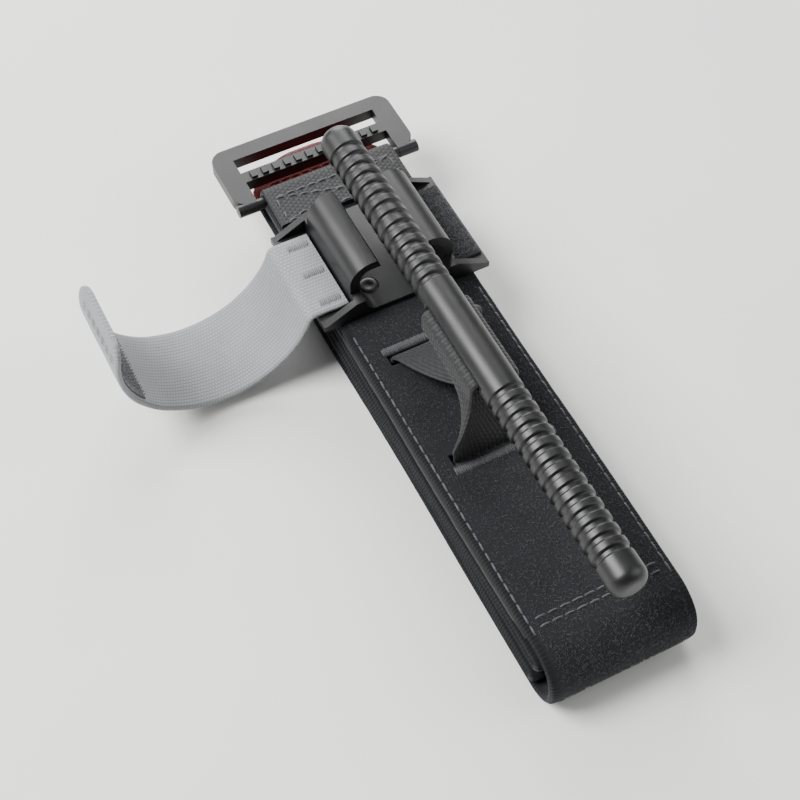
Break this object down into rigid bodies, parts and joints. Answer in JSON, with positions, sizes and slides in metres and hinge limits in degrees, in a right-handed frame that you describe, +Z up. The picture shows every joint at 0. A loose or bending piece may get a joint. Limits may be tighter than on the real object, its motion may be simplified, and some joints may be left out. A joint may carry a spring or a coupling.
{
  "type": "windlass tourniquet",
  "caption": "Folded hook-and-loop limb tourniquet with a ribbed windlass rod, hooked clip, time strap, slotted buckle and red-tipped pull tab.",
  "frame": {"origin": "on the underside of the folded stack, at its middle across the band and midway along the package", "axes": "+Z up out of the windlass side, +Y along the band towards the buckle and the red tip, +X across the band"},
  "size_m": [0.1009, 0.1726, 0.0442],
  "materials": {
    "band_fabric": "black brushed nylon loop pile",
    "pocket_fabric": "black plain-woven nylon",
    "strap_webbing": "black flat nylon webbing",
    "black_thread": "bonded nylon thread",
    "moulded_nylon": "glass-filled nylon, satin",
    "time_strap_webbing": "grey nylon strap",
    "grey_thread": "bonded nylon thread",
    "write_on_label": "smooth coated tape, blank",
    "hook_patch": "moulded hook tape",
    "loop_patch": "loop tape",
    "red_tip": "red coated nylon",
    "red_thread": "bonded nylon thread"
  },
  "bodies": {
    "folded_half": {"folded_band": "band_fabric", "outer_fold": "band_fabric", "inner_fold": "band_fabric"},
    "windlass_half": {"windlass_band": "band_fabric", "tail_band": "band_fabric", "band_edge_stitching": "black_thread", "stabilising_plate": "moulded_nylon", "plate_pocket": "pocket_fabric", "inner_strap": "strap_webbing", "slit_bar_tacks": "black_thread", "windlass_clip": "moulded_nylon", "clip_rivets": "moulded_nylon", "landing_patch": "loop_patch", "time_strap_base": "time_strap_webbing", "base_bar_tacks": "grey_thread", "buckle_loop": "strap_webbing", "buckle_box_stitch": "black_thread"},
    "strap_legs": {"inner_strap_legs": "strap_webbing"},
    "windlass": {"windlass_rod": "moulded_nylon", "inner_strap_loop": "strap_webbing"},
    "time_strap": {"time_strap": "time_strap_webbing", "time_label": "write_on_label", "strap_hook_patch": "hook_patch", "strap_hem_stitch": "grey_thread"},
    "buckle": {"buckle": "moulded_nylon"},
    "tail": {"tail_tab": "band_fabric", "red_tip": "red_tip", "tip_stitching": "red_thread"}
  },
  "joints": [
    {"name": "fold_open", "type": "hinge", "parent": "folded_half", "child": "windlass_half", "pos_m": [0, -0.07, 0.01065], "axis": [1, 0, 0], "range_deg": [0, 90], "deforming": ["outer_fold", "inner_fold"]},
    {"name": "windlass_seat", "type": "slide", "parent": "windlass_half", "child": "strap_legs", "axis": [0, 0, -1], "range_m": [0, 0.0128], "deforming": ["inner_strap_legs"]},
    {"name": "windlass_turn", "type": "hinge", "parent": "strap_legs", "child": "windlass", "pos_m": [0, -0.004, 0.03945], "axis": [0, 0, 1], "range_deg": [-540, 540]},
    {"name": "time_strap_close", "type": "hinge", "parent": "windlass_half", "child": "time_strap", "pos_m": [-0.025, 0.043, 0.0218], "axis": [0, 1, 0], "range_deg": [0, 165]},
    {"name": "buckle_swing", "type": "hinge", "parent": "windlass_half", "child": "buckle", "pos_m": [0, 0.073, 0.0181], "axis": [1, 0, 0], "range_deg": [0, 85]},
    {"name": "tail_flex", "type": "hinge", "parent": "windlass_half", "child": "tail", "pos_m": [0, 0.069, 0.012], "axis": [1, 0, 0], "range_deg": [-24, 5]}
  ]
}
